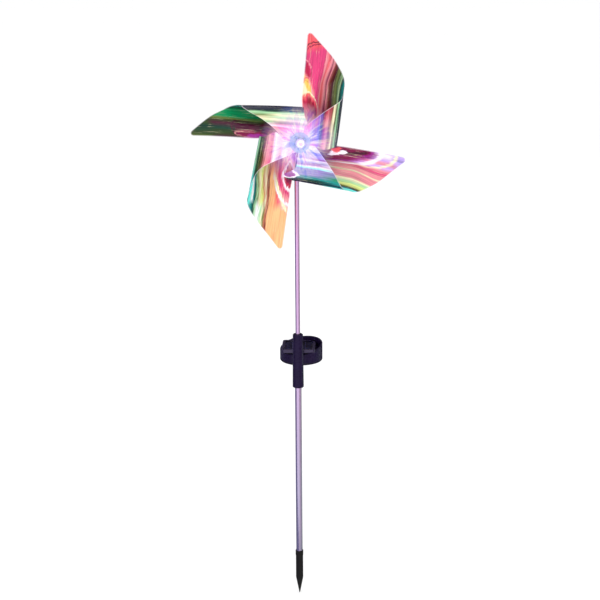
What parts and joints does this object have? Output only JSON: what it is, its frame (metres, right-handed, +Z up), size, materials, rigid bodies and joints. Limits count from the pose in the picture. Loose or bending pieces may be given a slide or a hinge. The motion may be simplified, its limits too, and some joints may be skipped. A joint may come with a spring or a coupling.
{
  "type": "solar pinwheel garden light",
  "caption": "Garden stake light: a lit pinwheel of curled iridescent film blades on a two-piece pole with a ground spike and a small round solar case.",
  "frame": {"origin": "tip of the ground spike, on the pole's axis", "axes": "+Z up along the pole, -Y the way the pinwheel faces, +X to the right seen from the front"},
  "size_m": [0.2458, 0.1163, 0.7449],
  "materials": {
    "spike_black": "matte black moulded plastic",
    "tube_metal": "thin polished metal tube with fine marks along it",
    "case_black": "gloss black moulded plastic",
    "frame_black": "gloss black moulded plastic",
    "seal_rubber": "soft black rubber",
    "screw_steel": "zinc plated steel",
    "cell_silicon": "dark blue crystalline cell",
    "busbar_silver": "printed silver",
    "window_clear": "clear flat window",
    "lens_clear": "small clear lens",
    "board_green": "solder mask",
    "chip_black": "moulded epoxy",
    "copper_winding": "enamelled copper",
    "cell_wrap": "shrink sleeve",
    "spring_steel": "plated spring steel",
    "button_rubber": "black rubber",
    "lead_sheath": "soft sheath",
    "head_plastic": "milky lilac plastic",
    "bush_nylon": "nylon",
    "board_white": "white solder mask",
    "led_clear": "clear epoxy, lit",
    "cap_white": "white diffusing plastic, lit from inside",
    "hub_clear": "clear bluish plastic",
    "pin_metal": "riveted aluminium",
    "film_rose": "iridescent film",
    "film_plum": "iridescent film",
    "film_amber": "iridescent film",
    "film_emerald": "iridescent film"
  },
  "bodies": {
    "stake": {"ground_spike": "spike_black", "lower_tube": "tube_metal", "solar_housing": "case_black", "case_base": "case_black", "case_seal": "seal_rubber", "case_screws": "screw_steel", "panel_frame": "frame_black", "solar_cell": "cell_silicon", "cell_busbars": "busbar_silver", "panel_window": "window_clear", "light_sensor": "lens_clear", "circuit_board": "board_green", "control_chip": "chip_black", "inductor": "copper_winding", "battery_holder": "case_black", "rechargeable_cell": "cell_wrap", "battery_contact": "spring_steel", "battery_spring": "spring_steel", "switch_body": "chip_black", "lower_lead": "lead_sheath"},
    "button": {"switch_button": "button_rubber"},
    "head": {"upper_tube": "tube_metal", "head_body": "head_plastic", "head_rear_cap": "head_plastic", "axle_tube": "screw_steel", "rear_washer": "bush_nylon", "front_washer": "bush_nylon", "axle_collar": "head_plastic", "led_board": "board_white", "leds": "led_clear", "light_cap": "cap_white", "upper_lead": "lead_sheath"},
    "rotor": {"rotor_sleeve": "hub_clear", "rear_bush": "bush_nylon", "front_bush": "bush_nylon", "hub_back_plate": "hub_clear", "hub_front_plate": "hub_clear", "back_pins": "pin_metal", "front_pins": "pin_metal", "blade_top": "film_rose", "blade_right": "film_plum", "blade_bottom": "film_amber", "blade_left": "film_emerald"}
  },
  "joints": [
    {"name": "head_swivel", "type": "hinge", "parent": "stake", "child": "head", "pos_m": [0, 0, 0.335], "axis": [0, 0, 1], "range_deg": [-90, 90]},
    {"name": "rotor_spin", "type": "hinge", "parent": "head", "child": "rotor", "pos_m": [0, -0.032, 0.622], "axis": [0, -1, 0], "continuous": true},
    {"name": "switch_press", "type": "slide", "parent": "stake", "child": "button", "axis": [0, 0, 1], "range_m": [0, 0.001], "stiffness_N_per_m": 1200, "springref_m": -0.0005}
  ]
}
